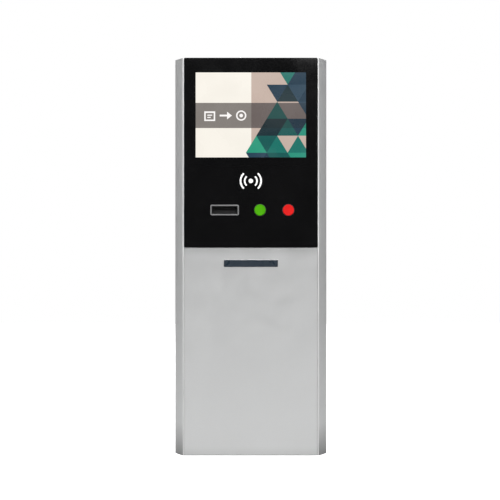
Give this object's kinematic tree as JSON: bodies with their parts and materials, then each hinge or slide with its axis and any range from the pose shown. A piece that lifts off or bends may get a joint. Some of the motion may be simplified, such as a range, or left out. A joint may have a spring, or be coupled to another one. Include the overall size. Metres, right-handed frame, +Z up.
{
  "type": "touchscreen kiosk",
  "caption": "Floor-standing touchscreen kiosk: silver sheet cabinet, black glass front with display, contactless reader, receipt mouth and push buttons, lockable rear door",
  "frame": {"origin": "bottom centre of the whole kiosk, on the floor", "axes": "+X right seen from the front, -Y front, +Z up"},
  "size_m": [0.4766, 0.33, 1.24],
  "materials": {
    "silver_sheet": "fine silver powder coat",
    "zinc_steel": "plain zinc-plated sheet",
    "black_glass": "tempered glass, black printed on the back, clear over the display",
    "black_plastic": "moulded, fine grain",
    "grey_plastic": "moulded, satin",
    "badge": "blank badge, satin grey with a bright rim",
    "green_plastic": "moulded, satin gloss",
    "red_plastic": "moulded, satin gloss",
    "foam": "closed-cell foam tape",
    "rubber": "smooth",
    "paper": "white thermal paper",
    "circuit_board": "solder resist",
    "polished_steel": "bright",
    "display": "display cell behind the glass"
  },
  "bodies": {
    "kiosk": {"base_plate": "zinc_steel", "left_side_panel": "silver_sheet", "right_side_panel": "silver_sheet", "top_cap": "silver_sheet", "rear_top_panel": "silver_sheet", "rear_bottom_panel": "silver_sheet", "front_carrier": "zinc_steel", "control_plate": "zinc_steel", "glass_gasket": "foam", "display_glass": "black_glass", "control_glass": "black_glass", "lower_front_panel": "silver_sheet", "badge_plate": "badge", "left_upright": "zinc_steel", "right_upright": "zinc_steel", "pc_shelf": "zinc_steel", "printer_shelf": "zinc_steel", "lcd_chassis": "zinc_steel", "lcd_panel": "display", "display_bracket_left": "zinc_steel", "display_bracket_right": "zinc_steel", "display_driver": "grey_plastic", "reader_antenna": "circuit_board", "reader_box": "black_plastic", "mouth_bezel": "grey_plastic", "printer_base": "black_plastic", "print_head": "polished_steel", "paper_spindle": "black_plastic", "green_button_housing": "black_plastic", "green_button_nut": "black_plastic", "green_button_spring": "polished_steel", "green_button_switch": "black_plastic", "red_button_housing": "black_plastic", "red_button_nut": "black_plastic", "red_button_spring": "polished_steel", "red_button_switch": "black_plastic", "pc_case": "black_plastic", "power_supply": "zinc_steel", "mains_inlet": "black_plastic", "fan_frame": "black_plastic", "hinge_lower_body_leaf": "zinc_steel", "hinge_lower_pin": "polished_steel", "hinge_upper_body_leaf": "zinc_steel", "hinge_upper_pin": "polished_steel", "mains_lead": "rubber", "video_lead": "rubber"},
    "rear_door": {"rear_door": "silver_sheet", "hinge_lower_door_leaf": "zinc_steel", "hinge_upper_door_leaf": "zinc_steel", "lock_body": "polished_steel", "lock_nut": "zinc_steel"},
    "door_lock": {"lock_plug": "polished_steel", "lock_cam": "zinc_steel"},
    "green_button": {"green_button_cap": "green_plastic"},
    "red_button": {"red_button_cap": "red_plastic"},
    "printer_cover": {"printer_cover": "black_plastic"},
    "platen": {"platen_roller": "rubber"},
    "paper_roll": {"paper_roll": "paper"},
    "fan": {"fan_rotor": "black_plastic"},
    "rocker": {"inlet_rocker": "black_plastic"}
  },
  "joints": [
    {"name": "door_swing", "type": "hinge", "parent": "kiosk", "child": "rear_door", "pos_m": [0.206, 0.1626, 0.59], "axis": [0, 0, -1], "range_deg": [0, 110]},
    {"name": "lock_turn", "type": "hinge", "parent": "rear_door", "child": "door_lock", "pos_m": [-0.186, 0.15, 0.59], "axis": [0, -1, 0], "range_deg": [0, 90]},
    {"name": "green_press", "type": "slide", "parent": "kiosk", "child": "green_button", "axis": [0, 1, 0], "range_m": [0, 0.003], "stiffness_N_per_m": 500, "springref_m": -0.004, "deforming": ["green_button_spring"]},
    {"name": "red_press", "type": "slide", "parent": "kiosk", "child": "red_button", "axis": [0, 1, 0], "range_m": [0, 0.003], "stiffness_N_per_m": 500, "springref_m": -0.004, "deforming": ["red_button_spring"]},
    {"name": "cover_lift", "type": "hinge", "parent": "kiosk", "child": "printer_cover", "pos_m": [-0.0816, 0.002, 0.768], "axis": [-1, 0, 0], "range_deg": [0, 75]},
    {"name": "platen_spin", "type": "hinge", "parent": "printer_cover", "child": "platen", "pos_m": [-0.0816, -0.12, 0.7712], "axis": [1, 0, 0], "continuous": true},
    {"name": "roll_spin", "type": "hinge", "parent": "kiosk", "child": "paper_roll", "pos_m": [-0.0816, -0.048, 0.733], "axis": [1, 0, 0], "continuous": true},
    {"name": "fan_spin", "type": "hinge", "parent": "kiosk", "child": "fan", "pos_m": [0, 0.1462, 1.17], "axis": [0, 1, 0], "continuous": true},
    {"name": "rocker_tip", "type": "hinge", "parent": "kiosk", "child": "rocker", "pos_m": [0.134, 0.1585, 0.04], "axis": [1, 0, 0], "range_deg": [0, 16]}
  ],
  "couplings": [
    {"joint": "roll_spin", "follows": "platen_spin", "ratio": -0.1579}
  ]
}
